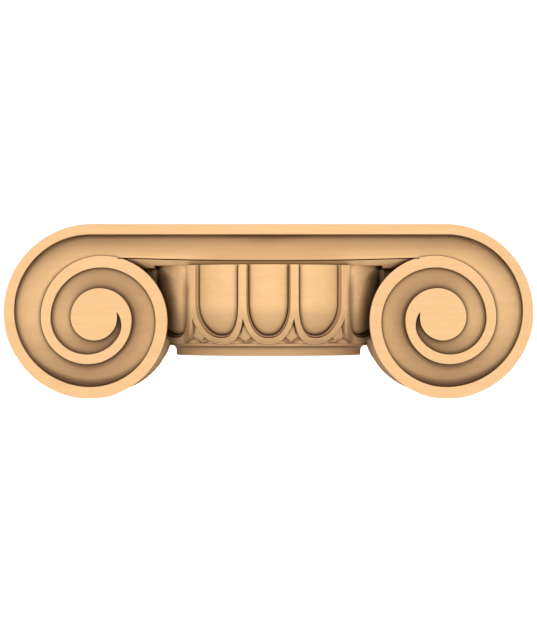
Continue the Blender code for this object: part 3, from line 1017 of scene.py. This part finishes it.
def painted_shade_in_hollows(tree, wood):
    """How much of the wood's colour is left by the shade painted into its hollows. Less shade is painted
    between the eggs and under the top fillet, and more at the volutes' bottoms. Close below the front the
    eggs are painted lighter."""
    height = tree.z
    sideways = tree.measures["sideways"]
    top = tree.maths(
        "MAXIMUM", tree.ranged(height, TOP_RISE, 1.0, wood.top_share),
        tree.ranged(sideways, MIDDLE_SPAN, wood.middle_share, wood.top_share))
    foot = tree.product(top, tree.ranged(height, VOLUTE_FEET, wood.foot_gain, 1.0))
    corner_reach = tree.ranged(height, VOLUTE_FEET, wood.foot_reach, wood.corner_reach)
    # Painted light: close under the front the eggs are made lighter, against the shadow the front casts.
    shelter = tree.ranged(height, (SHELTER_TOP - wood.shelter, SHELTER_TOP), 0.0, 1.0)
    lift = tree.product(
        tree.echinus, tree.inside(SHELTER), tree.maths("POWER", shelter, SHELTER_POWER), wood.shelter_painted_light)
    return tree.product(
        tree.hollows(wood.reach, top, wood.fall, wood.egg_fall),
        tree.hollows(corner_reach, foot, wood.corner_fall, wood.egg_corner_fall),
        tree.hollows(wood.line_reach, foot, wood.line_fall, wood.egg_line_fall),
        tree.maths("ADD", lift, 1.0))


def painted_shade_places(tree, wood):
    """The places with painted shade of their own, 1 inside and 0 outside, and how much of the colour is left
    there.
    """
    past_eggs = 0.0
    for each in PAST_EGGS:
        past_eggs = tree.maths("MAXIMUM", past_eggs, tree.bound(*each))
    lean = tree.ranged(tree.z, LEAN_RISE, 0.0, LAST_EGG_LEAN)
    across = tree.maths("SUBTRACT", tree.measures["sideways"], lean)
    last_eggs = tree.product(
        tree.echinus, tree.ranged(across, LAST_EGG_SPAN, 0.0, 1.0), tree.bound(*OVER_COLLAR))
    return (
        (tree.inside(COLLAR + UNDER_FILLET), wood.quirk_shade),
        (tree.inside(COLLAR), wood.collar_shade),
        (tree.product(tree.echinus, tree.inside(EGG_FEET)), wood.foot_shade),
        (tree.product(tree.inside(BAND), past_eggs), wood.band_shade),
        (last_eggs, wood.scroll_shade),
        (tree.product(tree.echinus, tree.inside(LAST_RIBS)), wood.last_rib_shade),
    )


def wood_material(wood):
    """Pale, finely sanded wood, with a faint grain, fine pores, and shade painted into its colour in hollows
    and where shade falls.
    """
    material = bpy.data.materials.new("pale_carved_wood")
    material.use_nodes = True
    tree = WoodShading(material.node_tree)
    rings = tree.noise(stretch=(2.2, 26, 30), scale=6.0, detail=4.0, distortion=0.4)
    figure = tree.noise(stretch=(1, 1, 1), scale=14.0, detail=2.0)
    fibres = tree.noise(stretch=(30, 420, 420), scale=1.6, detail=3.0)
    pores = tree.noise(stretch=(140, 900, 900), scale=1.0, detail=2.0)
    grain = tree.maths(
        "ADD", tree.ranged(rings, RING_RANGE, 0.0, RING_SHARE),
        tree.ranged(fibres, FIBRE_RANGE, 0.0, FIBRE_SHARE))
    grain = tree.maths("ADD", grain, tree.ranged(figure, RING_RANGE, 0.0, FIGURE_SHARE))
    open_wood = tree.mixed(grain, (*wood.light, 1.0), (*wood.grain, 1.0))

    # The share of colour left by the painted shade in hollows and shaded places, raised by the painted light
    # under the front.
    clear = painted_shade_in_hollows(tree, wood)
    for place, tone in painted_shade_places(tree, wood):
        clear = tree.product(clear, tree.ranged(place, (0.0, 1.0), 1.0, tone))

    smoothest = wood.roughness - ROUGHNESS_SPREAD
    roughest = wood.roughness + ROUGHNESS_SPREAD
    bump = tree.nodes.new("ShaderNodeBump")
    bump.inputs["Strength"].default_value = wood.bump
    bump.inputs["Distance"].default_value = PORE_DEPTH
    tree.fill(bump.inputs["Height"], tree.maths("ADD", fibres, pores))
    surface = tree.nodes["Principled BSDF"].inputs
    tree.fill(surface["Base Color"], tree.mixed(clear, (*wood.painted_shade_colour, 1.0), open_wood))
    tree.fill(surface["Roughness"], tree.ranged(fibres, FIBRE_RANGE, smoothest, roughest))
    tree.fill(surface["Normal"], bump.outputs["Normal"])
    surface["Specular IOR Level"].default_value = SPECULAR
    return material


# The studio.

def surround(studio):
    """A pale studio, brighter overhead than underneath, with a plain white backdrop."""
    world = bpy.data.worlds.new("studio_surround")
    world.use_nodes = True
    tree = Shading(world.node_tree, "Generated")
    light = tree.nodes["Background"]
    backdrop = tree.nodes.new("ShaderNodeBackground")
    brightness = tree.ranged(tree.z, (-1.0, 1.0), studio.light_below, studio.light_above)
    tree.fill(light.inputs["Strength"], brightness)
    tree.fill(backdrop.inputs["Strength"], studio.backdrop)
    for ground in (light, backdrop):
        ground.inputs["Color"].default_value = (1, 1, 1, 1)
    seen = tree.nodes.new("ShaderNodeLightPath").outputs["Is Camera Ray"]
    either = tree.nodes.new("ShaderNodeMixShader")
    sources = (seen, light.outputs["Background"], backdrop.outputs["Background"])
    for socket, value in zip(either.inputs, sources):
        tree.fill(socket, value)
    tree.fill(tree.nodes["World Output"].inputs["Surface"], either.outputs["Shader"])
    return world


class CAPITAL_OT_carve(bpy.types.Operator):
    """Carve the capital in one piece: the scrolls, the echinus of eggs and darts, and the collar"""

    bl_idname = "capital.carve"
    bl_label = "Carve Capital"

    def execute(self, context):
        settings = context.scene.capital
        scrolls = settings.scrolls
        eggs = settings.eggs
        body = block(scrolls, eggs.top - BED_OVERLAP)
        groove = groove_cutter(scrolls)
        band = band_cutter("band_cutter", scrolls, scrolls.band_setback, None)
        quirk_setback = scrolls.band_setback + scrolls.quirk_depth
        quirk = band_cutter("quirk_cutter", scrolls, quirk_setback, scrolls.quirk)
        for cutter in (groove, band, quirk):
            back = turned_copy(cutter)
            combine(body, cutter, "DIFFERENCE")
            combine(body, back, "DIFFERENCE")
        for part in (web(scrolls, eggs.top + WEB_OVERLAP), echinus(eggs), collar(settings.collar)):
            combine(body, part, "UNION")
        weld(body)
        bpy.ops.object.mode_set(mode="OBJECT")
        bpy.ops.object.shade_smooth_by_angle(angle=SHARP_ANGLE)
        rename(body, PIECE_NAME)
        check_closed(body)
        body.data.materials.clear()
        body.data.materials.append(wood_material(settings.wood))
        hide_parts(CAD_NODE)
        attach(body, "root")
        return {"FINISHED"}


class CAPITAL_OT_studio(bpy.types.Operator):
    """Lay the plain floor, set the soft light and place the camera"""

    bl_idname = "capital.studio"
    bl_label = "Set Studio"

    def execute(self, context):
        scene = context.scene
        studio = scene.capital.studio
        deselect()
        bpy.ops.mesh.primitive_plane_add(size=FLOOR_SIZE, location=(0, 0, LOW.z))
        floor = bpy.context.object
        floor.name = "studio_floor"
        apply_place()
        paint = bpy.data.materials.new("studio_floor")
        paint.use_nodes = True
        surface = paint.node_tree.nodes["Principled BSDF"].inputs
        surface["Base Color"].default_value = (*studio.floor_colour, 1.0)
        surface["Roughness"].default_value = 1.0
        surface["Emission Strength"].default_value = studio.floor_glow
        floor.data.materials.append(paint)
        floor.visible_diffuse = False
        scene.world = surround(studio)
        angle = studio.lamp_height
        away = studio.lamp_distance * cos(angle)
        up = HEIGHT / 2 + studio.lamp_distance * sin(angle)
        for side in (-1, 1):
            bpy.ops.object.light_add(
                type="AREA", location=(0, side * away, up), rotation=(side * (angle - pi / 2), 0, 0))
            lamp = bpy.context.object
            lamp.name = "softbox"
            lamp.data.shape = "RECTANGLE"
            lamp.data.size = studio.lamp_size
            lamp.data.size_y = studio.lamp_size / LAMP_SLENDERNESS
            lamp.data.energy = studio.lamp_power
            lamp.visible_camera = False
        bpy.ops.object.camera_add(
            location=(0, -studio.distance, studio.eye_height), rotation=(pi / 2 + studio.pitch, 0, 0))
        camera = bpy.context.object
        camera.data.lens = studio.lens
        camera.data.sensor_width = SENSOR_WIDTH
        scene.camera = camera
        scene.view_settings.view_transform = "Standard"
        return {"FINISHED"}


class CAPITAL_PT_panel(bpy.types.Panel):
    """Sizes, wood with its painted shade, and studio of the capital"""

    bl_idname = "CAPITAL_PT_panel"
    bl_label = "Ionic Capital"
    bl_space_type = "VIEW_3D"
    bl_region_type = "UI"
    bl_category = "Capital"

    def draw(self, context):
        layout = self.layout
        settings = context.scene.capital
        for group in (settings.scrolls, settings.eggs, settings.collar, settings.wood, settings.studio):
            box = layout.box()
            for name in group.__annotations__:
                box.prop(group, name)
        layout.operator(CAPITAL_OT_carve.bl_idname)
        layout.operator(CAPITAL_OT_studio.bl_idname)


CLASSES = (
    ScrollSizes, EggSizes, CollarSizes, WoodAndPaintedShade, StudioSettings, CapitalSettings, CAPITAL_OT_carve,
    CAPITAL_OT_studio, CAPITAL_PT_panel)


def register():
    for kind in CLASSES:
        bpy.utils.register_class(kind)
    bpy.types.Scene.capital = PointerProperty(type=CapitalSettings)


def unregister():
    del bpy.types.Scene.capital
    for kind in reversed(CLASSES):
        bpy.utils.unregister_class(kind)


def main():
    register()
    bpy.ops.capital.carve()
    bpy.ops.capital.studio()


if __name__ == "__main__":
    main()
